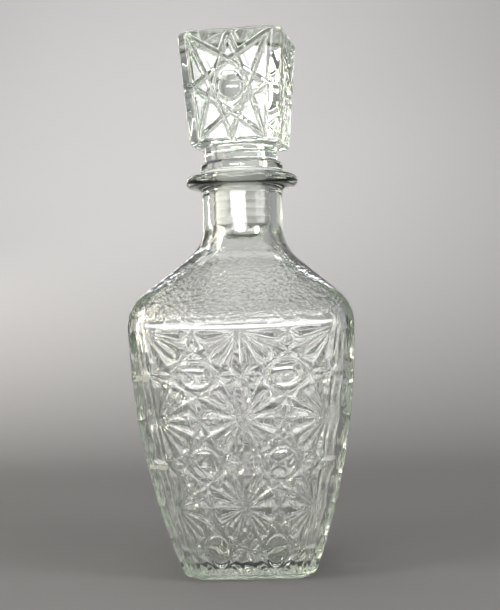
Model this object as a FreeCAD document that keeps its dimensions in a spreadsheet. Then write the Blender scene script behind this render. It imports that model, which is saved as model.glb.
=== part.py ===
import FreeCAD, Part
import os
from FreeCAD import Placement, Rotation, Vector
import Sketcher

# Square pressed-glass decanter with its square glass stopper, in millimetres.
# +Z is up, the origin is the centre of the foot, and the front panel faces -Y.
# Three separate pieces: the blown and pressed bottle, the solid glass stopper,
# and the ribbed plastic sleeve that seals the stopper's shank in the neck.

DRIVING_DIMENSIONS = [
    # bottle, outside
    ("body_half", 53.6, "half width across the flats at the shoulder"),
    ("foot_half", 25.2, "half width of the flat foot"),
    ("heel_top", 3.6, "height where the rounded heel meets the side"),
    ("heel_radius", 7.0, "radius of the heel"),
    ("side_arc", 345.0, "radius of the bowed side panels"),
    ("shoulder_level", 122.5, "height of the widest section, where the panels turn into the shoulders"),
    ("shoulder_radius", 19.5, "radius of the shoulder in side view"),
    ("shoulder_slope", 42.0, "slope of the four shoulder facets, degrees"),
    ("throat_radius", 25.2, "radius where shoulder turns into neck"),
    ("corner_half", 69.7, "axis to corner bevel, at the widest section"),
    ("corner_arc", 372.0, "radius of the bowed corner bevels"),
    ("corner_level", 122.0, "height where the corner bevels turn into the shoulder ridges"),
    ("corner_crest", 150.7, "height at which the corner bevels would stand upright"),
    ("corner_slope", 30.7, "slope of the shoulder ridges, degrees"),
    ("corner_radius", 26.7, "radius of the shoulder ridges in side view"),
    ("throat_round", 17.0, "radius of the round throat that blends square into neck"),
    ("throat_rise", 2.3, "how far the round throat starts above the flats"),
    ("throat_slope", 30.0, "slope at which the round throat leaves the ridges, degrees"),
    # bottle, neck and lip
    ("neck_radius", 20.3, "outside radius of the neck"),
    ("mouth_level", 199.0, "height of the lip's seat"),
    ("lip_radius", 28.3, "outside radius of the lip"),
    ("lip_under", 192.3, "height of the lip's underside"),
    ("lip_cove", 3.6, "radius of the cove under the lip"),
    ("lip_round", 2.9, "radius of the lip's rim"),
    ("lip_drop", 0.9, "fall of the lip's top towards the rim"),
    ("seat_radius", 21.5, "radius of the flat seat on the lip"),
    # bottle, inside
    ("wall", 5.2, "wall thickness of the body"),
    ("base_thickness", 6.5, "thickness of the glass under the cavity"),
    ("cavity_floor_half", 20.2, "half width of the flat cavity floor"),
    ("cavity_heel_radius", 9.0, "radius around the cavity floor"),
    ("bore_radius", 13.8, "radius of the bore in the neck"),
    ("bore_lead", 1.2, "chamfer at the mouth of the bore"),
    # cuts across the corner bevels
    ("notch_pitch", 42.5, "spacing of the cuts up the corners"),
    ("notch_first", 15.3, "height of the lowest cut"),
    ("notch_depth", 1.2, "depth of a cut"),
    ("notch_half", 2.6, "half height of a cut"),
    # stopper
    ("stopper_turn", -7.6, "turn of the stopper's head against the bottle, degrees"),
    ("flange_thickness", 1.2, "sleeve flange between lip and collar"),
    ("collar_radius", 20.9, "radius of the stopper's collar"),
    ("collar_height", 4.2, "height of the collar"),
    ("collar_round", 1.4, "radius of the collar's upper edge"),
    ("waist_radius", 18.4, "radius of the stopper's waist"),
    ("head_base", 212.0, "height of the underside of the head"),
    ("head_top", 268.0, "height of the top of the head"),
    ("head_base_half", 22.6, "half width of the head at its underside"),
    ("head_top_half", 26.7, "half width of the head at its top"),
    ("head_base_bevel", 6.6, "corner bevel of the head at its underside"),
    ("head_top_bevel", 5.7, "corner bevel of the head at its top"),
    ("head_round", 2.4, "rounding of the head's upper and lower edges"),
    ("head_notch_depth", 1.1, "depth of the cut across a head corner"),
    ("head_notch_half", 2.4, "half height of the cut across a head corner"),
    ("shank_radius", 10.4, "radius of the shank"),
    ("shank_end", 165.5, "height of the shank's lower end"),
    ("shank_round", 3.5, "rounding of the shank's end"),
    # seal sleeve
    ("flange_radius", 19.6, "radius of the sleeve's flange"),
    ("sleeve_end", 173.0, "height of the sleeve's lower end"),
    ("sleeve_radius", 12.7, "radius between the ribs"),
    ("rib_clearance", 0.06, "radial clearance of the ribs in the bore"),
    ("shank_clearance", 0.05, "radial clearance of the shank in the sleeve"),
    ("rib_count", 5, "number of ribs"),
    ("rib_first", 176.0, "height of the lowest rib"),
    ("rib_pitch", 4.2, "spacing of the ribs"),
    ("rib_half", 1.15, "half height of a rib at its root"),
]

CUT_MARGIN = 4.0  # how far cutting outlines run past the solid they trim

doc = FreeCAD.newDocument("decanter")


def settle():
    """Recompute until nothing is left waiting for a bound value."""
    for _ in range(6):
        doc.recompute()
        if not any("Touched" in item.State for item in doc.Objects):
            return
    raise RuntimeError("the document does not settle")


def make_sheet():
    """Write every driving dimension into the spreadsheet under its alias."""
    sheet = doc.addObject("Spreadsheet::Sheet", "Dims")
    for row, (alias, value, note) in enumerate(DRIVING_DIMENSIONS, start=1):
        sheet.set(f"A{row}", note)
        sheet.set(f"B{row}", str(value))
        sheet.setAlias(f"B{row}", alias)
    settle()
    return sheet


sheet = make_sheet()


def number(expression):
    """The value of an expression over the spreadsheet's aliases."""
    value = sheet.evalExpression(str(expression))
    return float(getattr(value, "Value", value))


def origin_plane(body, role):
    """The body's own origin plane with the given role."""
    for feature in body.Origin.OriginFeatures:
        if feature.Role == role:
            return feature
    raise ValueError(f"{body.Name} has no {role}")


def make_sketch(body, name, role, lift=0.0, turn=0.0):
    """A sketch on one of the body's origin planes.

    lift raises it along the plane's normal; turn swings an upright plane about Z.
    """
    sketch = body.newObject("Sketcher::SketchObject", name)
    sketch.AttachmentSupport = [(origin_plane(body, role), "")]
    sketch.MapMode = "FlatFace"
    sketch.AttachmentOffset = Placement(Vector(0, 0, number(lift)), Rotation(Vector(0, 1, 0), turn))
    if lift:
        sketch.setExpression("AttachmentOffset.Base.z", str(lift))
    return sketch


def bind(sketch, constraint, expression):
    """Add a dimensional constraint and tie it to the spreadsheet."""
    index = sketch.addConstraint(constraint)
    sketch.setExpression(f"Constraints[{index}]", expression)


def arc_between(start, end, radius):
    """The short counter-clockwise arc from start to end."""
    chord = end - start
    height = (radius**2 - (chord.Length / 2)**2) ** 0.5
    left = Vector(-chord.y, chord.x, 0).normalize()
    centre = (start + end) / 2 + left * height
    turns = [(place - centre).getAngle(Vector(1, 0, 0)) for place in (start, end)]
    angles = [turn if place.y >= centre.y else -turn for turn, place in zip(turns, (start, end))]
    return Part.ArcOfCircle(Part.Circle(centre, Vector(0, 0, 1), radius), *angles)


def draw_outline(sketch, outline):
    """Draw a closed outline and tie each corner and each radius to the spreadsheet.

    outline lists (x, y) for a corner reached by a straight edge, or
    (x, y, radius, way) for one reached by an arc, all as expressions.
    way is "out" where the arc runs counter-clockwise and "in" where it runs clockwise.
    """
    corners = [Vector(number(step[0]), number(step[1]), 0) for step in outline]
    ends = []
    for index, step in enumerate(outline):
        start = corners[index - 1]
        end = corners[index]
        if len(step) == 2:
            sketch.addGeometry(Part.LineSegment(start, end))
            ends.append((1, 2))
        elif step[3] == "out":
            sketch.addGeometry(arc_between(start, end, number(step[2])))
            ends.append((1, 2))
        else:
            sketch.addGeometry(arc_between(end, start, number(step[2])))
            ends.append((2, 1))
    for index, step in enumerate(outline):
        follower = (index + 1) % len(outline)
        last = ends[index][1]
        sketch.addConstraint(Sketcher.Constraint("Coincident", index, last, follower, ends[follower][0]))
        bind(sketch, Sketcher.Constraint("DistanceX", -1, 1, index, last, corners[index].x), step[0])
        bind(sketch, Sketcher.Constraint("DistanceY", -1, 1, index, last, corners[index].y), step[1])
        if len(step) == 4:
            bind(sketch, Sketcher.Constraint("Radius", index, number(step[2])), step[2])


def pattern(body, feature, name, axis_role="Z_Axis", count=4):
    """Repeat a cut evenly about the body's upright axis."""
    axis = next(item for item in body.Origin.OriginFeatures if item.Role == axis_role)
    repeat = body.newObject("PartDesign::PolarPattern", name)
    repeat.Originals = [feature]
    repeat.Axis = (axis, [""])
    repeat.Angle = 360.0
    repeat.Occurrences = count
    body.Tip = repeat
    settle()
    return repeat


def cut_through(body, sketch, name, length):
    """Pocket a sketch to both sides of its plane, and prove that it removed glass."""
    before = body.Shape.Volume
    pocket = body.newObject("PartDesign::Pocket", name)
    pocket.Profile = sketch
    pocket.SideType = "Symmetric"
    pocket.setExpression("Length", length)
    settle()
    if not pocket.Shape.Volume < before - 1e-3:
        raise RuntimeError(f"{name} removed nothing")
    return pocket


def revolve(body, sketch, name, kind="PartDesign::Revolution"):
    """Turn a sketch about the upright axis."""
    feature = body.newObject(kind, name)
    feature.Profile = sketch
    feature.ReferenceAxis = (sketch, ["V_Axis"])
    feature.Angle = 360.0
    settle()
    return feature


def side_profile(shift, neck):
    """Corners of the flats in side view, for the glass (shift 0) or its cavity."""
    half = f"(Dims.body_half - {shift})"
    arc = f"(Dims.side_arc - {shift})"
    turn = f"(Dims.shoulder_radius - {shift})"
    throat = f"(Dims.throat_radius + {shift})"
    level = "Dims.shoulder_level"
    slope = "Dims.shoulder_slope"
    high_x = f"({half} - {turn} * (1 - sin({slope})))"
    high_y = f"({level} + {turn} * cos({slope}))"
    low_x = f"({neck} + {throat} * (1 - sin({slope})))"
    low_y = f"({high_y} + ({high_x} - {low_x}) * tan({slope}))"
    top_y = f"({low_y} + {throat} * cos({slope}))"
    return {
        "start": lambda y: f"({half} - {arc} + sqrt({arc}^2 - ({level} - {y})^2))",
        "arc": arc,
        "steps": [
            (half, level, arc, "out"),
            (high_x, high_y, turn, "out"),
            (low_x, low_y),
            (neck, top_y, throat, "in"),
        ],
        "top": top_y,
    }


def corner_profile(shift, neck):
    """Corners of the bevels in diagonal view, for the glass or its cavity."""
    half = f"(Dims.corner_half - {shift})"
    arc = f"(Dims.corner_arc - {shift})"
    turn = f"(Dims.corner_radius - {shift})"
    throat = f"(Dims.throat_radius + {shift})"
    level = "Dims.corner_level"
    rise = "(Dims.corner_crest - Dims.corner_level)"
    lean_x = f"(sqrt({arc}^2 - {rise}^2) / {arc})"
    lean_y = f"({rise} / {arc})"
    slope = "Dims.corner_slope"
    high_x = f"({half} + {turn} * (sin({slope}) - {lean_x}))"
    high_y = f"({level} + {turn} * (cos({slope}) + {lean_y}))"
    low_x = f"({neck} + {throat} * (1 - sin({slope})))"
    low_y = f"({high_y} + ({high_x} - {low_x}) * tan({slope}))"
    top_y = f"({low_y} + {throat} * cos({slope}))"
    crest = f"({half} + {arc} - sqrt({arc}^2 - {rise}^2))"
    return {
        "start": lambda y: f"({crest} - {arc} + sqrt({arc}^2 - (Dims.corner_crest - {y})^2))",
        "arc": arc,
        "steps": [
            (half, level, arc, "out"),
            (high_x, high_y, turn, "out"),
            (low_x, low_y),
            (neck, top_y, throat, "in"),
        ],
        "top": top_y,
    }


def trim_outline(profile, foot, floor, heel_y, heel_radius, top):
    """The region outside a profile, as a closed outline that trims the block."""
    outside = f"(1.5 * Dims.body_half + {CUT_MARGIN})"
    under = f"({floor} - {CUT_MARGIN})"
    over = f"({top} + {CUT_MARGIN})"
    neck = profile["steps"][-1][0]
    return [
        (foot, under),
        (foot, floor),
        (profile["start"](heel_y), heel_y, heel_radius, "out"),
        *profile["steps"],
        (neck, over),
        (outside, over),
        (outside, under),
    ]


def square_bulb(name, shift, neck, foot, floor, heel_y, heel_radius):
    """A square bulb with bowed flats, bevelled corners and a shoulder that turns round.

    It is a block, trimmed to the side view on its four flats, to the diagonal view
    on its four corners, and to a round throat below the neck.
    """
    body = doc.addObject("PartDesign::Body", name)
    flats = side_profile(shift, neck)
    corners = corner_profile(shift, neck)
    top = f"({flats['top']} + Dims.throat_rise)"

    half = f"(Dims.body_half - {shift})"
    plan = make_sketch(body, f"{name}_plan", "XY_Plane", floor)
    draw_outline(plan, [(half, half), (f"-{half}", half), (f"-{half}", f"-{half}"), (half, f"-{half}")])
    block = body.newObject("PartDesign::Pad", f"{name}_block")
    block.Profile = plan
    block.setExpression("Length", f"{top} - {floor}")
    settle()

    side = make_sketch(body, f"{name}_side", "XZ_Plane")
    draw_outline(side, trim_outline(flats, foot, floor, heel_y, heel_radius, top))
    flat_cut = cut_through(body, side, f"{name}_flat_cut", "4 * Dims.body_half")
    pattern(body, flat_cut, f"{name}_flats")

    # The bevel's foot stands out from the flat's by the same share as at the heel.
    corner_foot = f"({corners['start'](heel_y)} - ({flats['start'](heel_y)} - {foot}))"
    diagonal = make_sketch(body, f"{name}_diagonal", "XZ_Plane", turn=45)
    corner_top = f"({corners['top']} + {CUT_MARGIN})"
    draw_outline(diagonal, trim_outline(corners, corner_foot, floor, heel_y, heel_radius, corner_top))
    corner_cut = cut_through(body, diagonal, f"{name}_corner_cut", "4 * Dims.body_half")
    pattern(body, corner_cut, f"{name}_corners")

    throat = make_sketch(body, f"{name}_throat", "XZ_Plane")
    round_radius = f"(Dims.throat_round + {shift})"
    round_x = f"({neck} + {round_radius} * (1 - sin(Dims.throat_slope)))"
    round_y = f"({top} - {round_radius} * cos(Dims.throat_slope))"
    outside = f"(1.5 * Dims.body_half + {CUT_MARGIN})"
    draw_outline(throat, [
        (outside, f"({round_y} - ({outside} - {round_x}) * tan(Dims.throat_slope))"),
        (round_x, round_y),
        (neck, top, round_radius, "in"),
        (neck, f"({top} + {CUT_MARGIN})"),
        (outside, f"({top} + {CUT_MARGIN})"),
    ])
    before = body.Shape.Volume
    revolve(body, throat, f"{name}_round", "PartDesign::Groove")
    if not body.Shape.Volume < before:
        raise RuntimeError(f"{name}_round removed nothing")
    return body, top


def add_notches(body, name, levels, distance, depth, half_height):
    """Cut a shallow V across each of the four corners at each level."""
    for index, level in enumerate(levels, start=1):
        sketch = make_sketch(body, f"{name}_{index}_outline", "XZ_Plane", turn=45)
        face = distance(level)
        reach = f"({face} + {CUT_MARGIN})"
        spread = f"({half_height} * (1 + {CUT_MARGIN} / {depth}))"
        draw_outline(sketch, [
            (f"({face} - {depth})", level),
            (reach, f"({level} + {spread})"),
            (reach, f"({level} - {spread})"),
        ])
        cut = cut_through(body, sketch, f"{name}_{index}_cut", "Dims.body_half")
        pattern(body, cut, f"{name}_{index}")


def make_bottle():
    """The bottle: a square glass blank with a round neck and lip, less its cavity."""
    blank, blank_top = square_bulb(
        "glass_blank", "0", "Dims.neck_radius", "Dims.foot_half", "0", "Dims.heel_top", "Dims.heel_radius")

    bevel = corner_profile("0", "Dims.neck_radius")
    levels = [f"(Dims.notch_first + {step} * Dims.notch_pitch)" for step in range(3)]
    add_notches(blank, "corner_notch", levels, bevel["start"], "Dims.notch_depth", "Dims.notch_half")

    neck = make_sketch(blank, "neck_profile", "XZ_Plane")
    rim = "(Dims.lip_radius - Dims.lip_round)"
    draw_outline(neck, [
        ("0", f"({blank_top} - {CUT_MARGIN})"),
        ("Dims.neck_radius", f"({blank_top} - {CUT_MARGIN})"),
        ("Dims.neck_radius", "(Dims.lip_under - Dims.lip_cove)"),
        ("(Dims.neck_radius + Dims.lip_cove)", "Dims.lip_under", "Dims.lip_cove", "in"),
        (rim, "Dims.lip_under"),
        ("Dims.lip_radius", "(Dims.lip_under + Dims.lip_round)", "Dims.lip_round", "out"),
        (rim, "(Dims.mouth_level - Dims.lip_drop)", "(Dims.mouth_level - Dims.lip_under) / 2", "out"),
        ("Dims.seat_radius", "Dims.mouth_level"),
        ("0", "Dims.mouth_level"),
    ])
    revolve(blank, neck, "neck_and_lip")

    inner_heel = "(Dims.base_thickness + Dims.heel_top)"
    core, core_top = square_bulb(
        "cavity_core", "Dims.wall", "Dims.bore_radius", "Dims.cavity_floor_half",
        "Dims.base_thickness", inner_heel, "Dims.cavity_heel_radius")
    bore = make_sketch(core, "bore_profile", "XZ_Plane")
    draw_outline(bore, [
        ("0", f"({core_top} - {CUT_MARGIN})"),
        ("Dims.bore_radius", f"({core_top} - {CUT_MARGIN})"),
        ("Dims.bore_radius", "(Dims.mouth_level - Dims.bore_lead)"),
        ("(Dims.bore_radius + Dims.bore_lead)", "Dims.mouth_level"),
        ("(Dims.bore_radius + Dims.bore_lead)", f"(Dims.mouth_level + {CUT_MARGIN})"),
        ("0", f"(Dims.mouth_level + {CUT_MARGIN})"),
    ])
    revolve(core, bore, "neck_bore")

    bottle = doc.addObject("Part::Cut", "bottle")
    bottle.Base = blank
    bottle.Tool = core
    bottle.Label = "decanter_bottle"
    settle()
    return bottle


def head_section(body, name, level, half, bevel):
    """A square with bevelled corners, drawn level at a height."""
    sketch = make_sketch(body, name, "XY_Plane", level)
    near = f"({half} - {bevel})"
    draw_outline(sketch, [
        (half, f"-{near}"), (half, near), (near, half), (f"-{near}", half),
        (f"-{half}", near), (f"-{half}", f"-{near}"), (f"-{near}", f"-{half}"), (near, f"-{half}"),
    ])
    return sketch


def make_stopper():
    """The stopper: collar, waist and shank turned in one, under a flared square head."""
    body = doc.addObject("PartDesign::Body", "stopper")
    body.Label = "stopper"
    seat = "(Dims.mouth_level + Dims.flange_thickness)"
    collar_top = f"({seat} + Dims.collar_height)"
    head_inside = "(Dims.head_base + 2 * Dims.head_round)"
    turned = make_sketch(body, "stopper_profile", "XZ_Plane")
    draw_outline(turned, [
        ("0", "Dims.shank_end"),
        ("(Dims.shank_radius - Dims.shank_round)", "Dims.shank_end"),
        ("Dims.shank_radius", "(Dims.shank_end + Dims.shank_round)", "Dims.shank_round", "out"),
        ("Dims.shank_radius", seat),
        ("Dims.collar_radius", seat),
        ("Dims.collar_radius", f"({collar_top} - Dims.collar_round)"),
        ("(Dims.collar_radius - Dims.collar_round)", collar_top, "Dims.collar_round", "out"),
        ("Dims.waist_radius", collar_top),
        ("Dims.waist_radius", head_inside),
        ("0", head_inside),
    ])
    revolve(body, turned, "stopper_turned")

    lower = head_section(body, "head_lower", "Dims.head_base", "Dims.head_base_half", "Dims.head_base_bevel")
    upper = head_section(body, "head_upper", "Dims.head_top", "Dims.head_top_half", "Dims.head_top_bevel")
    head = body.newObject("PartDesign::AdditiveLoft", "head")
    head.Profile = lower
    head.Sections = [upper]
    head.Ruled = True
    settle()

    rim_levels = (number("Dims.head_base"), number("Dims.head_top"))
    rim_edges = []
    for index, edge in enumerate(head.Shape.Edges, start=1):
        box = edge.BoundBox
        straight = edge.Curve.TypeId == "Part::GeomLine"
        level = box.ZLength < 1e-6 and min(abs(box.ZMin - rim) for rim in rim_levels) < 1e-6
        if straight and level:
            rim_edges.append(f"Edge{index}")
    rounding = body.newObject("PartDesign::Fillet", "head_rounding")
    rounding.Base = (head, rim_edges)
    rounding.setExpression("Radius", "Dims.head_round")
    settle()

    middle = "((Dims.head_base + Dims.head_top) / 2)"
    half = "((Dims.head_base_half + Dims.head_top_half) / 2)"
    bevel = "((Dims.head_base_bevel + Dims.head_top_bevel) / 2)"
    add_notches(body, "head_notch", [middle], lambda level: f"((2 * {half} - {bevel}) / sqrt(2))",
                "Dims.head_notch_depth", "Dims.head_notch_half")
    body.Placement = Placement(Vector(0, 0, 0), Rotation(Vector(0, 0, 1), number("Dims.stopper_turn")))
    body.setExpression("Placement.Rotation.Angle", "Dims.stopper_turn * 1 deg")
    settle()
    return body


def make_sleeve():
    """The seal sleeve: a thin plastic tube with a flange and sharp-edged ribs."""
    body = doc.addObject("PartDesign::Body", "sleeve")
    body.Label = "seal_sleeve"
    inside = "(Dims.shank_radius + Dims.shank_clearance)"
    rib_radius = "(Dims.bore_radius - Dims.rib_clearance)"
    flange_top = "(Dims.mouth_level + Dims.flange_thickness)"
    outline = [
        (inside, "Dims.sleeve_end"),
        ("Dims.sleeve_radius", "Dims.sleeve_end"),
    ]
    for index in range(int(number("Dims.rib_count"))):
        level = f"(Dims.rib_first + {index} * Dims.rib_pitch)"
        outline += [
            ("Dims.sleeve_radius", f"({level} - Dims.rib_half)"),
            (rib_radius, f"({level} + Dims.rib_half / 4)"),
            (rib_radius, f"({level} + Dims.rib_half / 2)"),
            ("Dims.sleeve_radius", f"({level} + Dims.rib_half)"),
        ]
    outline += [
        ("Dims.sleeve_radius", "Dims.mouth_level"),
        ("Dims.flange_radius", "Dims.mouth_level"),
        ("Dims.flange_radius", flange_top),
        (inside, flange_top),
    ]
    profile = make_sketch(body, "sleeve_profile", "XZ_Plane")
    draw_outline(profile, outline)
    revolve(body, profile, "sleeve_turned")
    return body


def check_document(pieces):
    """Stop if any feature failed or any piece is not one sound solid."""
    for item in doc.Objects:
        if "Invalid" in item.State or "Error" in item.State:
            raise RuntimeError(f"{item.Name} failed: {item.State}")
    for piece in pieces:
        shape = piece.Shape
        if shape.isNull() or not shape.isValid() or len(shape.Solids) != 1:
            raise RuntimeError(f"{piece.Label} is not one valid solid")


pieces = [make_bottle(), make_stopper(), make_sleeve()]
settle()
check_document(pieces)

os.makedirs("parts", exist_ok=True)
for piece in pieces:
    piece.Shape.exportStep(f"parts/{piece.Label}.step")
    box = piece.Shape.BoundBox
    print(f"{piece.Label}: {box.XLength:.2f} x {box.YLength:.2f} x {box.ZLength:.2f} mm,",
          f"z {box.ZMin:.2f} to {box.ZMax:.2f}, volume {piece.Shape.Volume / 1000:.1f} cm3")
cavity = doc.getObject("cavity_core").Shape
print(f"cavity to the brim: {cavity.Volume / 1000:.0f} cm3")
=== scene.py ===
import math

import bpy
import numpy as np
from mathutils import Matrix, Vector


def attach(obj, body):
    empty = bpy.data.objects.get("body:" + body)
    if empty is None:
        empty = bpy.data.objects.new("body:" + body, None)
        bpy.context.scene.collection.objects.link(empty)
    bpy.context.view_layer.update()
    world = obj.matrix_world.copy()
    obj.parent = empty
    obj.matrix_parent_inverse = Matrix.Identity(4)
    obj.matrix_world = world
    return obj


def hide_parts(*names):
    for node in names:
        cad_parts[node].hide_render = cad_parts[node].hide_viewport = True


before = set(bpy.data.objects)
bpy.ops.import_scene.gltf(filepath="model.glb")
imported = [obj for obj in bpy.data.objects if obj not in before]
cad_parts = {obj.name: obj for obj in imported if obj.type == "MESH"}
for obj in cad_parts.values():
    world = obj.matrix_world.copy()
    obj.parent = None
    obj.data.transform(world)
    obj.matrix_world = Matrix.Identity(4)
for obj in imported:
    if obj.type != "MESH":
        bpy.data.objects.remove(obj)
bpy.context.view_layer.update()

# Lengths in this script are millimetres until a mesh is made, and angles are degrees.
MM = 0.001

# The design's own sizes, as the CAD holds them.
BODY_HALF, SIDE_ARC, SHOULDER_LEVEL = 53.6, 345.0, 122.5
SHOULDER_TURN, SHOULDER_SLOPE, THROAT_TURN = 19.5, 42.0, 25.2
CORNER_HALF, CORNER_ARC, CORNER_CREST = 69.7, 372.0, 150.7
CORNER_LEVEL, CORNER_TURN, CORNER_SLOPE = 122.0, 26.7, 30.7
THROAT_ROUND, THROAT_RISE, THROAT_SLOPE = 17.0, 2.3, 30.0
FOOT_HALF, HEEL_TOP, HEEL_RADIUS = 25.2, 3.6, 7.0
NECK, BORE, BORE_LEAD = 20.3, 13.8, 1.2
MOUTH, LIP_RADIUS, LIP_UNDER = 199.0, 28.3, 192.3
LIP_COVE, LIP_ROUND, LIP_DROP, SEAT = 3.6, 2.9, 0.9, 21.5
WALL, BASE = 5.2, 6.5
CAVITY_FOOT, CAVITY_HEEL = 20.2, 9.0
ROW_PITCH = 42.5
STAR_LEVEL = 36.6
FLANGE = 1.2
COLLAR, COLLAR_HEIGHT, COLLAR_ROUND, WAIST = 20.9, 4.2, 1.4, 18.4
HEAD_BASE, HEAD_TOP, HEAD_ROUND = 212.0, 268.0, 2.4
HEAD_BASE_HALF, HEAD_TOP_HALF = 22.6, 26.7
HEAD_BASE_BEVEL, HEAD_TOP_BEVEL = 6.6, 5.7
STOPPER_TURN = -7.6
SHANK, SHANK_END, SHANK_ROUND = 10.4, 165.5, 3.5
SLEEVE, SLEEVE_END, FLANGE_RADIUS = 12.7, 173.0, 19.6
RIB_CLEARANCE, SHANK_CLEARANCE = 0.06, 0.05
RIB_COUNT, RIB_FIRST, RIB_PITCH, RIB_HALF = 5, 176.0, 4.2, 1.15

# The sizes that only the looks have.
BOTTLE_COLUMNS, HEAD_COLUMNS = (164, 22), (84, 14)  # mesh columns on each panel and each bevel
GLASS_SHARPNESS, CAVITY_SHARPNESS = (90, 34), (40, 20)  # of the upright edges, low down and at the neck
THROAT_EASE, THROAT_EASE_DEPTH = 3.0, 0.75  # softens the line where the round throat meets the square
CELL = 37.0  # nominal distance between star columns, where the pattern is square on
CUT_SLOPE = 0.54  # depth of a star's V cuts against half their width
BOSS_RADIUS, BOSS_DEPTH, BOSS_GROOVE = 6.8, 1.25, 1.3
RELIEF_START, RELIEF_FULL = 3.0, 6.5  # the heel is plain
RELIEF_MARGIN, RELIEF_END = 2.2, 0.2  # and so is the shoulder's edge, measured down from it
CORNER_FADE_START, CORNER_FADE_END = 120.0, 130.0  # where the corners' cuts run out
CROSS_CUT_LEVEL, CROSS_CUT_HALF = 15.3, 2.6
CUT_V = 0.46  # depth of the cross cuts and the head's notches against half their width
LEAF_LANES, LEAF_HALF, LEAF_SLOPE = (0.2, 0.5, 0.8), 0.15, 0.5
GRAIN, GRAIN_KEPT = 0.44, 0.2  # height of the shoulder's grain, and the share left at the neck
SHOULDER_SAG = 1.8  # how far the shoulder's edge dips at the middle of each panel
FOOT_HOLLOW = 0.5
DETAIL = 0.5  # spacing of the relief's rings
CAVITY_DETAIL = 1.6
HEAD_STAR_HALF, HEAD_STAR_SLOPE = 1.25, 0.75
HEAD_BOSS, HEAD_BOSS_DEPTH, HEAD_BOSS_GROOVE = 5.8, 1.1, 1.2
HEAD_NOTCH_HALF = 2.4
CROWN_HOLLOW = 0.5


# ---------------------------------------------------------------- outlines

def smooth(low, high, x):
    """0 below low, 1 above high, and an even turn between."""
    t = np.clip((x - low) / (high - low), 0.0, 1.0)
    return t * t * (3 - 2 * t)


class Flank:
    """Half width of the body against height: bowed side, turned shoulder, slope and throat."""

    def __init__(self, half, level, arc, crest, turn, slope, throat, neck):
        rise = crest - level
        lean_x, lean_y = math.sqrt(arc**2 - rise**2) / arc, rise / arc
        sine, cosine = math.sin(math.radians(slope)), math.cos(math.radians(slope))
        self.level, self.arc, self.crest = level, arc, crest
        self.turn, self.throat, self.neck = turn, throat, neck
        self.crest_half = half + arc - math.sqrt(arc**2 - rise**2)
        self.turn_x, self.turn_y = half - turn * lean_x, level + turn * lean_y
        self.high_x, self.high_y = self.turn_x + turn * sine, self.turn_y + turn * cosine
        self.low_x = neck + throat * (1 - sine)
        self.tangent = sine / cosine
        self.low_y = self.high_y + (self.high_x - self.low_x) * self.tangent
        self.top_y = self.low_y + throat * cosine

    def __call__(self, z):
        side = self.crest_half - self.arc + np.sqrt(self.arc**2 - (self.crest - z)**2)
        turn = self.turn_x + np.sqrt(np.clip(self.turn**2 - (z - self.turn_y)**2, 0, None))
        slope = self.high_x - (z - self.high_y) / self.tangent
        throat = self.neck + self.throat - np.sqrt(np.clip(self.throat**2 - (self.top_y - z)**2, 0, None))
        return np.select([z < self.level, z < self.high_y, z < self.low_y, z < self.top_y],
                         [side, turn, slope, throat], self.neck)


def heel(z, foot, floor, flank):
    """Half width on the rounded heel, from the foot up to where the side begins."""
    radius = HEEL_RADIUS if floor == 0 else CAVITY_HEEL
    top = floor + HEEL_TOP
    ax, ay, bx, by = foot, floor, float(flank(np.float64(top))), top
    chord = math.hypot(bx - ax, by - ay)
    back = math.sqrt(radius**2 - (chord / 2)**2)
    cx = (ax + bx) / 2 - (by - ay) / chord * back
    cy = (ay + by) / 2 + (bx - ax) / chord * back
    return cx + np.sqrt(np.clip(radius**2 - (z - cy)**2, 0, None))


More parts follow.
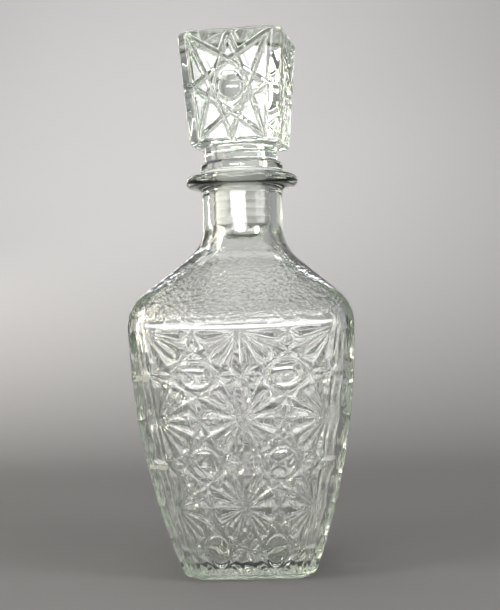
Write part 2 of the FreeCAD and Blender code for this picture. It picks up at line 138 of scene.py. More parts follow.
class Bulb:
    """The square bulb of the glass (shift 0) or of its cavity: a bevelled square at every height."""

    def __init__(self, shift, neck, foot, floor, sharpness):
        self.flat = Flank(BODY_HALF - shift, SHOULDER_LEVEL, SIDE_ARC - shift, SHOULDER_LEVEL,
                          SHOULDER_TURN - shift, SHOULDER_SLOPE, THROAT_TURN + shift, neck)
        self.corner = Flank(CORNER_HALF - shift, CORNER_LEVEL, CORNER_ARC - shift, CORNER_CREST,
                            CORNER_TURN - shift, CORNER_SLOPE, THROAT_TURN + shift, neck)
        self.neck, self.foot, self.floor = neck, foot, floor
        self.top = self.flat.top_y + THROAT_RISE
        self.round_radius = THROAT_ROUND + shift
        self.sharpness = sharpness
        top = np.float64(floor + HEEL_TOP)
        self.corner_foot = float(self.corner(top)) - (float(self.flat(top)) - foot)

    def halves(self, z):
        """Distance of the flats and of the corner bevels from the axis."""
        low = z < self.floor + HEEL_TOP
        flat = np.where(low, heel(z, self.foot, self.floor, self.flat), self.flat(z))
        corner = np.where(low, heel(z, self.corner_foot, self.floor, self.corner), self.corner(z))
        return flat, corner

    def envelope(self, z):
        """Radius of the round throat, which trims the square below the neck."""
        radius = self.round_radius
        sine, cosine = math.sin(math.radians(THROAT_SLOPE)), math.cos(math.radians(THROAT_SLOPE))
        bend_x, bend_y = self.neck + radius * (1 - sine), self.top - radius * cosine
        arc = self.neck + radius - np.sqrt(np.clip(radius**2 - (self.top - z)**2, 0, None))
        line = bend_x + (bend_y - z) * cosine / sine
        return np.where(z > self.top, self.neck, np.where(z > bend_y, arc, line))

    def ring(self, z, columns):
        """Points of one level section. columns are (side, s, t): s runs across a flat, t across a bevel."""
        flat, corner = self.halves(np.float64(z))
        panel = math.sqrt(2) * corner - flat
        bevel = flat - panel
        side, s, t = columns
        x = s * panel + t * bevel
        y = -flat + t * bevel
        angle = np.arctan2(y, x)
        low_sharpness, high_sharpness = self.sharpness
        n = low_sharpness + (high_sharpness - low_sharpness) * smooth(118, 150, z)
        total = np.zeros_like(angle)
        for k in range(8):
            reach = flat if k % 2 == 0 else corner
            total += (np.clip(np.cos(angle + math.pi / 2 - k * math.pi / 4), 0, None) / reach)**n
        reach = total**(-1 / n)
        limit = float(self.envelope(np.float64(z)))
        gap = np.clip(1 - np.abs(reach - limit) / THROAT_EASE, 0, None)
        reach = np.minimum(reach, limit) - THROAT_EASE_DEPTH * gap**2
        reach = np.maximum(reach, self.neck)
        return turned(reach * np.cos(angle), reach * np.sin(angle), side * math.pi / 2), panel, flat


def turned(x, y, angle):
    return np.stack([x * np.cos(angle) - y * np.sin(angle), x * np.sin(angle) + y * np.cos(angle)], axis=-1)


def square_columns(panel_steps, bevel_steps):
    """Columns round a bevelled square, counter-clockwise from the front panel's left edge."""
    side, s, t = [], [], []
    for k in range(4):
        for i in range(panel_steps):
            side.append(k)
            s.append(-1 + 2 * i / panel_steps)
            t.append(0.0)
        for i in range(bevel_steps):
            side.append(k)
            s.append(1.0)
            t.append(i / bevel_steps)
    return np.array(side), np.array(s), np.array(t)


# ---------------------------------------------------------------- cut patterns

def kite(x, y, start, end, width, peak):
    """Depth of one long V cut, pointed at both ends and widest at a share of its length."""
    dx, dy = end[0] - start[0], end[1] - start[1]
    length = math.hypot(dx, dy)
    t = ((x - start[0]) * dx + (y - start[1]) * dy) / length**2
    off = np.abs((x - start[0]) * dy - (y - start[1]) * dx) / length
    half = width * np.minimum(t / peak, (1 - t) / (1 - peak))
    return np.clip(half - off, 0, None)


def star_cuts():
    """The V cuts of one pattern cell with a big star at its centre: (start, end, width, peak)."""
    h = ROW_PITCH
    cuts = []
    for sx in (-1, 1):
        cuts.append(((0, 0), (sx * CELL / 2, 0), 3.7, 0.74))
        cuts.append(((sx * CELL / 2, 0), (sx * CELL, 0), 3.7, 0.26))
        for sy in (-1, 1):
            crossing = (sx * CELL / 2, sy * h / 4)
            cuts.append(((0, 0), crossing, 3.4, 0.76))
            cuts.append((crossing, (sx * CELL, sy * h / 2), 2.6, 0.55))
            cuts.append(((0, 0), (sx * CELL / 3, sy * h / 3), 2.7, 0.7))
            quarter = (sx * CELL / 4, sy * h / 2)
            cuts.append(((0, 0), quarter, 3.1, 0.74))
            cuts.append((quarter, (sx * CELL / 2, sy * h), 2.3, 0.5))
            cuts.append(((0, sy * h / 2), quarter, 2.2, 0.5))
    for sy in (-1, 1):
        cuts.append(((0, 0), (0, sy * h / 2), 4.1, 0.74))
    return cuts


STAR_CUTS = star_cuts()


def panel_depth(s, z):
    """How deep the cut pattern goes at share s across a panel and at height z."""
    x = s * CELL
    depth = np.zeros_like(x)
    row = np.round((z - STAR_LEVEL) / ROW_PITCH)
    for star_row in (row - 1, row, row + 1):
        level = STAR_LEVEL + star_row * ROW_PITCH
        for column in (-1, 0, 1):
            for start, end, width, peak in STAR_CUTS:
                cut = kite(x - column * CELL, z - level + 0 * x, start, end, width, peak)
                depth = np.maximum(depth, cut)
    depth = CUT_SLOPE * depth
    for star_row in (row - 1, row, row + 1):
        for column in (-0.5, 0.5):
            level = STAR_LEVEL + (star_row + 0.5) * ROW_PITCH
            away = np.hypot(x - column * CELL, z - level)
            dome = BOSS_DEPTH * np.clip(away / BOSS_RADIUS, 0, 1)**2.2
            groove = BOSS_DEPTH * np.clip(1 - (away - BOSS_RADIUS) / BOSS_GROOVE, 0, None)
            depth = np.where(away < BOSS_RADIUS, dome, np.maximum(depth, groove))
    above_heel = smooth(RELIEF_START, RELIEF_FULL, z)
    below_edge = 1 - smooth(SHOULDER_LEVEL - RELIEF_MARGIN, SHOULDER_LEVEL - RELIEF_END, z)
    return depth * (above_heel * below_edge)


def corner_depth(t, z, bevel):
    """How deep the long leaf cuts and the short cross cuts go on a corner bevel."""
    half_row = ROW_PITCH / 2
    step = np.floor((z - CROSS_CUT_LEVEL) / half_row)
    low = CROSS_CUT_LEVEL + step * half_row
    along = (z - low) / half_row
    depth = np.zeros_like(t)
    width = math.sqrt(2) * bevel
    for lane in LEAF_LANES:
        half = LEAF_HALF * width * np.clip(np.minimum(along / 0.5, (1 - along) / 0.5), 0, 1)
        depth = np.maximum(depth, LEAF_SLOPE * np.clip(half - np.abs(t - lane) * width, 0, None))
    if step % 2 == 0:
        notch = along * half_row
    else:
        notch = (1 - along) * half_row
    cross = CUT_V * np.clip(CROSS_CUT_HALF - notch, 0, None)
    depth = np.maximum(depth, cross * smooth(0.0, 0.06, t) * (1 - smooth(0.94, 1.0, t)))
    return depth * smooth(RELIEF_START, 6.0, z) * (1 - smooth(CORNER_FADE_START, CORNER_FADE_END, z))


# ---------------------------------------------------------------- meshes

def rings_to_mesh(name, rings):
    """A closed mesh from a list of level rings (n, 3) in millimetres; the ends close to a point."""
    n = rings[1].shape[0]
    first, last = rings[0], rings[-1]
    body = np.concatenate([r for r in rings[1:-1]])
    points = np.concatenate([first[:1], body, last[:1]]) * MM
    count = len(rings) - 2
    i = np.arange(n)
    j = (i + 1) % n
    quads = []
    for k in range(count - 1):
        a = 1 + k * n
        quads.append(np.stack([a + i, a + j, a + n + j, a + n + i], axis=-1))
    quads = np.concatenate(quads)
    low = np.stack([np.zeros_like(i), 1 + j, 1 + i], axis=-1)
    top = 1 + (count - 1) * n
    high = np.stack([np.full_like(i, len(points) - 1), top + i, top + j], axis=-1)
    mesh = bpy.data.meshes.new(name)
    loops = np.concatenate([quads.ravel(), low.ravel(), high.ravel()])
    sizes = np.concatenate([np.full(len(quads), 4), np.full(len(low) + len(high), 3)])
    starts = np.concatenate([[0], np.cumsum(sizes)[:-1]])
    mesh.vertices.add(len(points))
    mesh.vertices.foreach_set("co", points.astype(np.float32).ravel())
    mesh.loops.add(len(loops))
    mesh.loops.foreach_set("vertex_index", loops.astype(np.int32))
    mesh.polygons.add(len(sizes))
    mesh.polygons.foreach_set("loop_start", starts.astype(np.int32))
    mesh.update(calc_edges=True)
    mesh.validate()
    mesh.polygons.foreach_set("use_smooth", np.ones(len(mesh.polygons), bool))
    piece = bpy.data.objects.new(name, mesh)
    bpy.context.scene.collection.objects.link(piece)
    return piece


def level_ring(xy, z):
    return np.concatenate([xy, np.full((len(xy), 1), float(z))], axis=1)


def round_ring(radius, z, angles):
    return np.stack([radius * np.cos(angles), radius * np.sin(angles), np.full_like(angles, z)], axis=-1)


def arc_points(centre, radius, start, end, steps):
    """Points (r, z) along an arc of a turned profile."""
    return [(centre[0] + radius * math.cos(math.radians(a)), centre[1] + radius * math.sin(math.radians(a)))
            for a in np.linspace(start, end, steps)]


def stipple(z):
    """Height of the random grain on the shoulder: strongest a little above its edge."""
    above_edge = smooth(SHOULDER_LEVEL + 3, SHOULDER_LEVEL + 6, z)
    return GRAIN * above_edge * (1 - (1 - GRAIN_KEPT) * smooth(130, 165, z))


def bottle_mesh():
    """Cut outer glass, over the lip, down the bore and round the cavity: one closed skin."""
    columns = square_columns(*BOTTLE_COLUMNS)
    side, s, t = columns
    glass = Bulb(0.0, NECK, FOOT_HALF, 0.0, GLASS_SHARPNESS)
    cavity = Bulb(WALL, BORE, CAVITY_FOOT, BASE, CAVITY_SHARPNESS)
    on_panel = t == 0
    rings = []
    dice = np.random.default_rng(7)

    def glass_ring(z):
        xy, panel, flat = glass.ring(z, columns)
        depth = np.zeros_like(s)
        if z > SHOULDER_LEVEL:
            depth += stipple(z) * (dice.random(len(s)) - 0.5)
        if z < CORNER_FADE_END + 1:
            depth[on_panel] += panel_depth(s[on_panel], z)
            depth[~on_panel] += corner_depth(t[~on_panel], z, flat - panel)
        angle = side * math.pi / 2 - math.pi / 2 + np.where(on_panel, 0, math.pi / 4)
        xy = xy - depth[:, None] * np.stack([np.cos(angle), np.sin(angle)], axis=-1)
        ring = level_ring(xy, z)
        dip = SHOULDER_SAG * smooth(80, SHOULDER_LEVEL, z) * (1 - smooth(SHOULDER_LEVEL + 4, 152, z))
        ring[:, 2] -= dip * np.where(on_panel, 1 - s**2, 0)
        return ring

    foot = glass_ring(0.0)
    rings.append(foot * 0)
    for share in (0.3, 0.55, 0.75, 0.9):
        hollow = FOOT_HOLLOW * (1 - smooth(0.75, 0.92, share))
        rings.append(foot * [share, share, 1] + [0, 0, hollow])
    rings[0] = rings[0] + [0, 0, FOOT_HOLLOW]
    for z in [0, 0.15, 0.4, 0.8, 1.3, 1.9, 2.6, 3.3]:
        rings.append(glass_ring(z))
    for z in np.arange(3.9, glass.top, DETAIL):
        rings.append(glass_ring(z))

    neck_xy, _, _ = glass.ring(glass.top, columns)
    angles = np.arctan2(neck_xy[:, 1], neck_xy[:, 0])
    profile = [(NECK, z) for z in np.linspace(glass.top + 0.6, LIP_UNDER - LIP_COVE, 5)]
    profile += arc_points((NECK + LIP_COVE, LIP_UNDER - LIP_COVE), LIP_COVE, 180, 90, 8)[1:]
    rim = LIP_RADIUS - LIP_ROUND
    profile += arc_points((rim, LIP_UNDER + LIP_ROUND), LIP_ROUND, -90, 0, 9)
    rise = MOUTH - LIP_DROP - LIP_UNDER - LIP_ROUND
    profile += [(rim + LIP_ROUND * math.cos(a), LIP_UNDER + LIP_ROUND + rise * math.sin(a))
                for a in np.linspace(0, math.pi / 2, 9)[1:]]
    profile += [(r, MOUTH - LIP_DROP * (r - SEAT) / (rim - SEAT)) for r in np.linspace(rim, SEAT, 4)[1:]]
    profile += [(18.0, MOUTH), (BORE + BORE_LEAD + 0.3, MOUTH), (BORE + BORE_LEAD, MOUTH - 0.1)]
    profile += [(BORE + 0.1, MOUTH - BORE_LEAD + 0.1), (BORE, MOUTH - BORE_LEAD - 0.2)]
    profile += [(BORE, z) for z in np.linspace(MOUTH - 3, cavity.top + 0.6, 6)]
    rings += [round_ring(r, z, angles) for r, z in profile]

    for z in np.arange(cavity.top, BASE + HEEL_TOP + 0.5, -CAVITY_DETAIL):
        rings.append(level_ring(cavity.ring(z, columns)[0], z))
    for share in (1, 0.85, 0.6, 0.35, 0.15, 0.03, 0):
        z = BASE + HEEL_TOP * share
        rings.append(level_ring(cavity.ring(z, columns)[0], z))
    floor = rings[-1]
    for share in (0.9, 0.7, 0.45, 0.2):
        rings.append(floor * [share, share, 1])
    rings.append(floor * [0, 0, 1])
    return rings_to_mesh("decanter_bottle_glass", rings)


def head_section(z):
    """Half width and bevel of the stopper's head at a height."""
    share = (z - HEAD_BASE) / (HEAD_TOP - HEAD_BASE)
    half = HEAD_BASE_HALF + share * (HEAD_TOP_HALF - HEAD_BASE_HALF)
    bevel = HEAD_BASE_BEVEL + share * (HEAD_TOP_BEVEL - HEAD_BASE_BEVEL)
    return half, bevel


def head_depth(s, z):
    """Depth of the eight-point star and the round boss on a face of the head."""
    low, high = HEAD_BASE + 2.6, HEAD_TOP - 3.2
    middle, tall = (low + high) / 2, (high - low) / 2
    half, bevel = head_section(z)
    face = half - bevel
    x, y = s * face, z - middle
    points = [(-face, tall), (0, tall), (face, tall), (face, 0)]
    points += [(face, -tall), (0, -tall), (-face, -tall), (-face, 0)]
    depth = np.zeros_like(s)
    for index in range(8):
        (ax, ay), (bx, by) = points[index], points[(index + 3) % 8]
        length = math.hypot(bx - ax, by - ay)
        off = np.abs((x - ax) * (by - ay) - (y - ay) * (bx - ax)) / length
        depth = np.maximum(depth, HEAD_STAR_SLOPE * np.clip(HEAD_STAR_HALF - off, 0, None))
    away = np.hypot(x, y)
    dome = HEAD_BOSS_DEPTH * (away / HEAD_BOSS)**2
    groove = HEAD_BOSS_DEPTH * np.clip(1 - (away - HEAD_BOSS) / HEAD_BOSS_GROOVE, 0, None)
    depth = np.where(away < HEAD_BOSS, dome, np.maximum(depth, groove))
    return depth * smooth(low - 1.0, low + 0.6, z) * (1 - smooth(high - 0.6, high + 1.0, z))


def head_ring(z, inset, columns):
    """One level section of the head, drawn in by inset where its edges are rounded."""
    side, s, t = columns
    half, bevel = head_section(z)
    panel = half - bevel
    x, y = s * panel + t * bevel, -half + t * bevel
    angle = np.arctan2(y, x)
    corner = (2 * half - bevel) / math.sqrt(2)
    n = 60
    total = np.zeros_like(angle)
    for k in range(8):
        reach = half if k % 2 == 0 else corner
        total += (np.clip(np.cos(angle + math.pi / 2 - k * math.pi / 4), 0, None) / (reach - inset))**n
    reach = total**(-1 / n)
    depth = np.zeros_like(s)
    on_panel = t == 0
    depth[on_panel] = head_depth(s[on_panel], z)
    notch = abs(z - (HEAD_BASE + HEAD_TOP) / 2)
    depth[~on_panel] = CUT_V * max(HEAD_NOTCH_HALF - notch, 0)
    facing = side * math.pi / 2 - math.pi / 2 + np.where(on_panel, 0, math.pi / 4)
    xy = turned(reach * np.cos(angle), reach * np.sin(angle), side * math.pi / 2)
    xy = xy - depth[:, None] * np.stack([np.cos(facing), np.sin(facing)], axis=-1)
    return level_ring(xy, z)


def stopper_mesh():
    """Shank, collar, waist and star-cut head, as one closed skin of solid glass."""
    columns = square_columns(*HEAD_COLUMNS)
    base = head_ring(HEAD_BASE, HEAD_ROUND, columns)
    angles = np.arctan2(base[:, 1], base[:, 0])
    seat = MOUTH + FLANGE
    collar_top = seat + COLLAR_HEIGHT
    profile = [(r, SHANK_END) for r in (2.5, 5.0, SHANK - SHANK_ROUND)]
    profile += arc_points((SHANK - SHANK_ROUND, SHANK_END + SHANK_ROUND), SHANK_ROUND, -90, 0, 8)[1:]
    profile += [(SHANK, z) for z in np.linspace(SHANK_END + SHANK_ROUND + 2, seat - 0.3, 8)]
    profile += [(SHANK, seat), (SHANK + 0.4, seat), (COLLAR - 3, seat), (COLLAR - 0.5, seat)]
    profile += arc_points((COLLAR - 0.4, seat + 0.4), 0.4, -90, 0, 4)
    profile += arc_points((COLLAR - COLLAR_ROUND, collar_top - COLLAR_ROUND), COLLAR_ROUND, 0, 90, 7)
    profile += [(WAIST + 0.6, collar_top), (WAIST + 0.15, collar_top + 0.2), (WAIST, collar_top + 0.6)]
    profile += [(WAIST, z) for z in np.linspace(collar_top + 2, HEAD_BASE - 0.6, 4)]
    profile += [(WAIST + 0.15, HEAD_BASE - 0.15)]
    rings = [round_ring(0.0, SHANK_END, angles)]
    rings += [round_ring(r, z, angles) for r, z in profile]
    start = round_ring(WAIST + 0.4, HEAD_BASE, angles)
    reach = np.hypot(base[:, 0], base[:, 1])
    for share in (0.1, 0.55, 1.0):
        ring = start + (base - start) * share
        ring[reach < WAIST + 1.0, :2] = start[reach < WAIST + 1.0, :2] * (1 + 0.01 * share)
        rings.append(ring)
    for turn in (15, 35, 55, 75):
        z = HEAD_BASE + HEAD_ROUND * (1 - math.cos(math.radians(turn)))
        rings.append(head_ring(z, HEAD_ROUND * (1 - math.sin(math.radians(turn))), columns))
    for z in np.arange(HEAD_BASE + HEAD_ROUND, HEAD_TOP - HEAD_ROUND + 0.01, 0.5):
        rings.append(head_ring(z, 0.0, columns))
    for turn in (75, 60, 45, 30, 15, 0):
        z = HEAD_TOP - HEAD_ROUND * (1 - math.cos(math.radians(turn)))
        rings.append(head_ring(z, HEAD_ROUND * (1 - math.sin(math.radians(turn))), columns))
    crown = rings[-1]
    for share, sink in ((0.93, 0.0), (0.86, 0.5), (0.8, 0.8), (0.5, 1.0), (0.25, 1.0)):
        rings.append(crown * [share, share, 1] - [0, 0, CROWN_HOLLOW * sink])
    rings.append(crown * [0, 0, 1] - [0, 0, CROWN_HOLLOW])
    for ring in rings:
        ring[:, :2] = turned(ring[:, 0], ring[:, 1], np.float64(math.radians(STOPPER_TURN)))
    return rings_to_mesh("stopper_glass", rings)


def sleeve_mesh():
    """Ribbed plastic sleeve: a tube with soft-edged ribs and a thin flange."""
    inside = SHANK + SHANK_CLEARANCE
    rib = BORE - RIB_CLEARANCE
    top = MOUTH + FLANGE
    outer = [(inside + 0.4, SLEEVE_END), (SLEEVE - 0.3, SLEEVE_END), (SLEEVE, SLEEVE_END + 0.3)]
    for index in range(RIB_COUNT):
        level = RIB_FIRST + index * RIB_PITCH
        outer += [(SLEEVE, level - RIB_HALF), (SLEEVE + 0.12, level - RIB_HALF + 0.15)]
        outer += [(rib - 0.12, level + RIB_HALF / 4 - 0.1), (rib, level + RIB_HALF / 4 + 0.08)]
        outer += [(rib, level + RIB_HALF / 2 - 0.05), (rib - 0.12, level + RIB_HALF / 2 + 0.06)]
        outer += [(SLEEVE + 0.1, level + RIB_HALF - 0.08), (SLEEVE, level + RIB_HALF)]
    outer += [(SLEEVE, MOUTH - 0.4), (SLEEVE + 0.25, MOUTH - 0.06), (SLEEVE + 0.7, MOUTH)]
    outer += [(FLANGE_RADIUS - 0.3, MOUTH), (FLANGE_RADIUS - 0.08, MOUTH + 0.1)]
    outer += [(FLANGE_RADIUS, MOUTH + 0.35), (FLANGE_RADIUS, top - 0.35)]
    outer += [(FLANGE_RADIUS - 0.1, top - 0.08), (FLANGE_RADIUS - 0.35, top)]
    outer += [(inside + 0.5, top), (inside, top - 0.4)]
    outer += [(inside, z) for z in np.linspace(top - 3, SLEEVE_END + 1, 6)]
    outer += [(inside, SLEEVE_END + 0.3)]
    steps = 96
    angles = np.linspace(0, 2 * math.pi, steps, endpoint=False)
    points = np.concatenate([round_ring(r, z, angles) for r, z in outer]) * MM
    faces = []
    for k in range(len(outer)):
        low, high = k * steps, (k + 1) % len(outer) * steps
        for i in range(steps):
            j = (i + 1) % steps
            faces.append((low + i, low + j, high + j, high + i))
    mesh = bpy.data.meshes.new("seal_sleeve_ribbed")
    mesh.from_pydata([tuple(p) for p in points], [], faces)
    mesh.update()
    mesh.polygons.foreach_set("use_smooth", np.ones(len(mesh.polygons), bool))
    piece = bpy.data.objects.new("seal_sleeve_ribbed", mesh)
    bpy.context.scene.collection.objects.link(piece)
    return piece


# ---------------------------------------------------------------- materials

def new_material(name):
    material = bpy.data.materials.new(name)
    material.use_nodes = True
    nodes = material.node_tree.nodes
    shader = next(n for n in nodes if n.type == "BSDF_PRINCIPLED")
    return material, material.node_tree, shader


def link(tree, source, socket, target, name):
    tree.links.new(source.outputs[socket], target.inputs[name])


def noise_node(tree, scale, detail=2.0, roughness=0.5):
    node = tree.nodes.new("ShaderNodeTexNoise")
    node.inputs["Scale"].default_value = scale
    node.inputs["Detail"].default_value = detail
    node.inputs["Roughness"].default_value = roughness
    return node


def range_node(tree, low, high, out_low, out_high, smoothly=False):
    node = tree.nodes.new("ShaderNodeMapRange")
    node.interpolation_type = "SMOOTHSTEP" if smoothly else "LINEAR"
    node.inputs["From Min"].default_value = low
    node.inputs["From Max"].default_value = high
    node.inputs["To Min"].default_value = out_low
    node.inputs["To Max"].default_value = out_high
    return node


def math_node(tree, operation, *values):
    node = tree.nodes.new("ShaderNodeMath")
    node.operation = operation
    for index, value in enumerate(values):
        if isinstance(value, (int, float)):
            node.inputs[index].default_value = value
        else:
            tree.links.new(value, node.inputs[index])
    return node


# Colour and strength of the glass's tint in depth: the thin-walled bottle's and the solid stopper's.
BOTTLE_TINT, BOTTLE_DENSITY = (0.50, 0.62, 0.46), 11.0
STOPPER_TINT, STOPPER_DENSITY = (0.42, 0.66, 0.36), 4.0


def glass_material(name, stippled, tint, density):
    """Clear pressed glass, faintly green in depth, fire polished with a slight orange peel."""
    material, tree, shader = new_material(name)
    shader.inputs["Base Color"].default_value = (0.99, 0.995, 0.985, 1)
    shader.inputs["Transmission Weight"].default_value = 1.0
    shader.inputs["IOR"].default_value = 1.52
    place = tree.nodes.new("ShaderNodeTexCoord")

    haze = noise_node(tree, 90, 3)
    link(tree, place, "Object", haze, "Vector")
    polish = range_node(tree, 0.35, 0.7, 0.0, 0.025)
    link(tree, haze, "Fac", polish, "Value")
    link(tree, polish, "Result", shader, "Roughness")

    wave = noise_node(tree, 55, 2)
    link(tree, place, "Object", wave, "Vector")
    height = math_node(tree, "MULTIPLY", wave.outputs["Fac"], 0.2)
    if stippled:
        peel = noise_node(tree, 620, 2, 0.6)
        link(tree, place, "Object", peel, "Vector")
        drops = tree.nodes.new("ShaderNodeTexVoronoi")
        drops.inputs["Scale"].default_value = 520
        link(tree, place, "Object", drops, "Vector")
        split = tree.nodes.new("ShaderNodeSeparateXYZ")
        link(tree, place, "Object", split, "Vector")
        start = range_node(tree, 0.1255, 0.1290, 0.0, 1.0, True)
        stop = range_node(tree, 0.131, 0.170, 1.0, 0.12, True)
        link(tree, split, "Z", start, "Value")
        link(tree, split, "Z", stop, "Value")
        where = math_node(tree, "MULTIPLY", start.outputs["Result"], stop.outputs["Result"])
        grain = math_node(tree, "ADD", peel.outputs["Fac"], drops.outputs["Distance"])
        rough = math_node(tree, "MULTIPLY", grain.outputs[0], where.outputs[0])
        rough = math_node(tree, "MULTIPLY", rough.outputs[0], 0.42)
        height = math_node(tree, "ADD", height.outputs[0], rough.outputs[0])
    bump = tree.nodes.new("ShaderNodeBump")
    bump.inputs["Strength"].default_value = 1.0
    bump.inputs["Distance"].default_value = 0.0006
    link(tree, height, 0, bump, "Height")
    link(tree, bump, "Normal", shader, "Normal")

    depth = tree.nodes.new("ShaderNodeVolumeAbsorption")
    depth.inputs["Color"].default_value = (*tint, 1)
    depth.inputs["Density"].default_value = density
    output = next(n for n in tree.nodes if n.type == "OUTPUT_MATERIAL")
    link(tree, depth, "Volume", output, "Volume")
    return material


def sleeve_material():
    """Milky polyethylene: soft sheen, slightly see-through, with faint moulding marks."""
    material, tree, shader = new_material("milky_polyethylene")
    place = tree.nodes.new("ShaderNodeTexCoord")
    cloud = noise_node(tree, 160, 4)
    link(tree, place, "Object", cloud, "Vector")
    ramp = tree.nodes.new("ShaderNodeValToRGB")
    ramp.color_ramp.elements[0].position = 0.3
    ramp.color_ramp.elements[0].color = (0.93, 0.94, 0.90, 1)
    ramp.color_ramp.elements[1].position = 0.7
    ramp.color_ramp.elements[1].color = (0.99, 0.99, 0.96, 1)
    link(tree, cloud, "Fac", ramp, "Fac")
    link(tree, ramp, "Color", shader, "Base Color")
    sheen = range_node(tree, 0.3, 0.7, 0.32, 0.5)
    link(tree, cloud, "Fac", sheen, "Value")
    link(tree, sheen, "Result", shader, "Roughness")
    shader.inputs["Transmission Weight"].default_value = 0.25
    shader.inputs["IOR"].default_value = 1.5
    bump = tree.nodes.new("ShaderNodeBump")
    bump.inputs["Strength"].default_value = 0.3
    bump.inputs["Distance"].default_value = 0.0002
    link(tree, cloud, "Fac", bump, "Height")
    link(tree, bump, "Normal", shader, "Normal")
    return material


# ---------------------------------------------------------------- surroundings

def backdrop():
    """A grey floor that sweeps up behind into a wall a little wider than the view. In metres. Its colour
    carries painted shade: darker on the floor in front, lighter towards the back and up the wall.
    """
    left, right = -1.3, 0.46
    front, bend, rise = -1.8, 0.5, 1.2
    profile = [(bend, 0.0)]
    for a in range(3, 79, 3):
        turn = math.radians(a)
        profile.append((bend + rise * math.sin(turn), rise * (1 - math.cos(turn))))
    points = [(x, y, z) for y, z in profile for x in (left, right)]
    faces = [(2 * i, 2 * i + 1, 2 * i + 3, 2 * i + 2) for i in range(len(profile) - 1)]
    wide = 1.8
    corner = len(points)
    points += [(-wide, front, 0), (wide, front, 0), (wide, bend, 0), (-wide, bend, 0)]
    faces.append((corner, corner + 1, corner + 2, 1, 0, corner + 3))
    mesh = bpy.data.meshes.new("backdrop")
    mesh.from_pydata(points, [], faces)
    mesh.polygons.foreach_set("use_smooth", np.ones(len(mesh.polygons), bool))
    sweep = bpy.data.objects.new("backdrop", mesh)
    bpy.context.scene.collection.objects.link(sweep)
    material, tree, shader = new_material("grey_paper_painted_shade")
    place = tree.nodes.new("ShaderNodeTexCoord")
    grain = noise_node(tree, 3.0, 5)
    link(tree, place, "Object", grain, "Vector")
    split = tree.nodes.new("ShaderNodeSeparateXYZ")
    link(tree, place, "Object", split, "Vector")
    # painted shade: the paper's colour runs from darker at the front to lighter towards the back and up the
    # wall, standing in for light falling off
    depth = range_node(tree, 0.0, 1.5, 0.0, 0.94, True)
    link(tree, split, "Y", depth, "Value")
    fleck = math_node(tree, "MULTIPLY", grain.outputs["Fac"], 0.06)
    grain_and_painted_shade = math_node(tree, "ADD", depth.outputs["Result"], fleck.outputs[0])
    # painted shade: the two greys of this ramp are shade and light on the sweep rather than the paper's own
    # colour; only the fleck is grain
    ramp = tree.nodes.new("ShaderNodeValToRGB")
    ramp.color_ramp.elements[0].color = (0.206, 0.203, 0.200, 1)
    ramp.color_ramp.elements[1].color = (0.36, 0.354, 0.350, 1)
    link(tree, grain_and_painted_shade, 0, ramp, "Fac")
    link(tree, ramp, "Color", shader, "Base Color")
    shader.inputs["Roughness"].default_value = 0.95
    shader.inputs["Specular IOR Level"].default_value = 0.1
    mesh.materials.append(material)


def soft_box(name, place, aim, size, radiance, colour):
    """A rectangular soft light, in metres. radiance is its brightness, whatever its size."""
    data = bpy.data.lights.new(name, "AREA")
    data.shape = "RECTANGLE"
    data.size, data.size_y = size
    data.energy = radiance * math.pi * size[0] * size[1]
    data.color = colour
    lamp = bpy.data.objects.new(name, data)
    lamp.location = place
    lamp.rotation_euler = (Vector(aim) - Vector(place)).to_track_quat("-Z", "Y").to_euler()
    lamp.visible_camera = False
    bpy.context.scene.collection.objects.link(lamp)


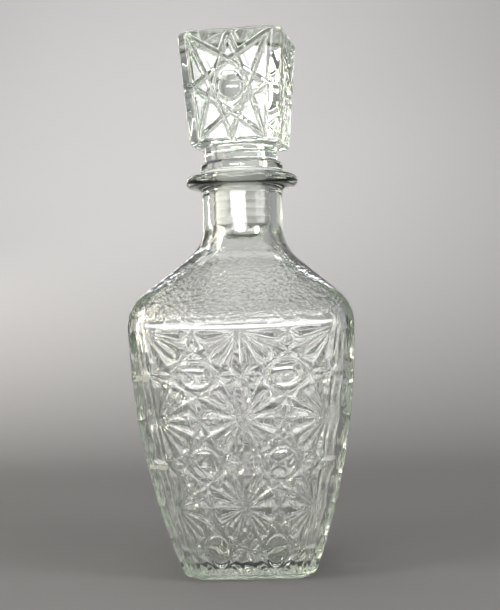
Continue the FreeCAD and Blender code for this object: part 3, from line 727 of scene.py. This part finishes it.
def lighting():
    """Soft boxes all round, under plain surroundings that are brightest at the horizon."""
    world = bpy.data.worlds.new("studio")
    world.use_nodes = True
    tree = world.node_tree
    place = tree.nodes.new("ShaderNodeTexCoord")
    split = tree.nodes.new("ShaderNodeSeparateXYZ")
    link(tree, place, "Generated", split, "Vector")
    upward = range_node(tree, 0.15, 0.50, 0.0, 1.0, True)
    link(tree, split, "Z", upward, "Value")
    ramp = tree.nodes.new("ShaderNodeValToRGB")
    ramp.color_ramp.elements[0].color = (0.35, 0.35, 0.35, 1)
    ramp.color_ramp.elements[1].color = (0.17, 0.17, 0.18, 1)
    link(tree, upward, "Result", ramp, "Fac")
    link(tree, ramp, "Color", tree.nodes["Background"], "Color")
    tree.nodes["Background"].inputs["Strength"].default_value = 1.0
    bpy.context.scene.world = world
    warm, cream, neutral = (1.0, 0.93, 0.78), (1.0, 0.965, 0.88), (1.0, 1.0, 1.0)
    middle = (0, 0, 0.14)
    soft_box("front_strip", (-0.16, -1.05, 0.255), middle, (0.80, 0.17), 14, neutral)
    soft_box("window_left", (-0.95, -0.50, 0.32), middle, (0.5, 0.6), 4.5, cream)
    soft_box("top_left", (-0.60, -0.62, 0.82), middle, (0.45, 0.4), 5, cream)
    soft_box("top_right", (0.58, -0.60, 0.80), middle, (0.35, 0.3), 9, neutral)
    soft_box("window_right", (0.92, -0.50, 0.28), middle, (0.25, 0.5), 7, neutral)
    soft_box("side_left", (-1.25, 0.10, 0.30), middle, (0.4, 0.6), 4, warm)
    soft_box("back_left", (-0.62, 1.05, 0.52), middle, (0.10, 0.7), 7, warm)
    soft_box("back_top", (-0.2, 1.05, 0.98), middle, (0.7, 0.2), 4, neutral)
    soft_box("overhead", (0.0, -0.10, 1.25), middle, (0.5, 0.5), 2, neutral)
    soft_box("wall_wash", (-0.70, 0.60, 0.70), (-0.45, 1.5, 0.60), (0.4, 0.3), 11, neutral)
    soft_box("wall_wash_high", (-0.12, 0.80, 0.90), (-0.06, 1.5, 0.62), (0.9, 0.2), 13, neutral)
    soft_box("front_upper", (0.10, -1.00, 0.62), middle, (0.80, 0.09), 7, neutral)


def camera():
    """The reference's viewing angle: nearly level, from just under half the height."""
    distance, height, azimuth = 0.6320, 0.1211, 3.5
    pan, pitch, roll = -0.21, 1.06, -1.70
    data = bpy.data.cameras.new("camera")
    data.lens = 73.8
    data.sensor_width = 36
    view = bpy.data.objects.new("camera", data)
    turn = math.radians(azimuth)
    place = Matrix.Translation((distance * math.sin(turn), -distance * math.cos(turn), height))
    heading = Matrix.Rotation(math.radians(azimuth + pan), 4, "Z")
    tilt = Matrix.Rotation(math.radians(90 + pitch), 4, "X")
    lean = Matrix.Rotation(math.radians(roll), 4, "Z")
    view.matrix_world = place @ heading @ tilt @ lean
    bpy.context.scene.collection.objects.link(view)
    bpy.context.scene.camera = view


bottle = bottle_mesh()
stopper = stopper_mesh()
sleeve = sleeve_mesh()
bottle.data.materials.append(glass_material("pressed_glass", True, BOTTLE_TINT, BOTTLE_DENSITY))
stopper.data.materials.append(glass_material("stopper_glass", False, STOPPER_TINT, STOPPER_DENSITY))
sleeve.data.materials.append(sleeve_material())

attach(bottle, "bottle")
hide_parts("decanter_bottle")
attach(stopper, "stopper")
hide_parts("stopper")
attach(sleeve, "sleeve")
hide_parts("seal_sleeve")

backdrop()
lighting()
camera()
scene = bpy.context.scene
scene.view_settings.view_transform = "Standard"
scene.cycles.use_denoising = True
scene.cycles.max_bounces = 32
scene.cycles.transmission_bounces = 32
scene.cycles.glossy_bounces = 12
scene.cycles.sample_clamp_indirect = 8
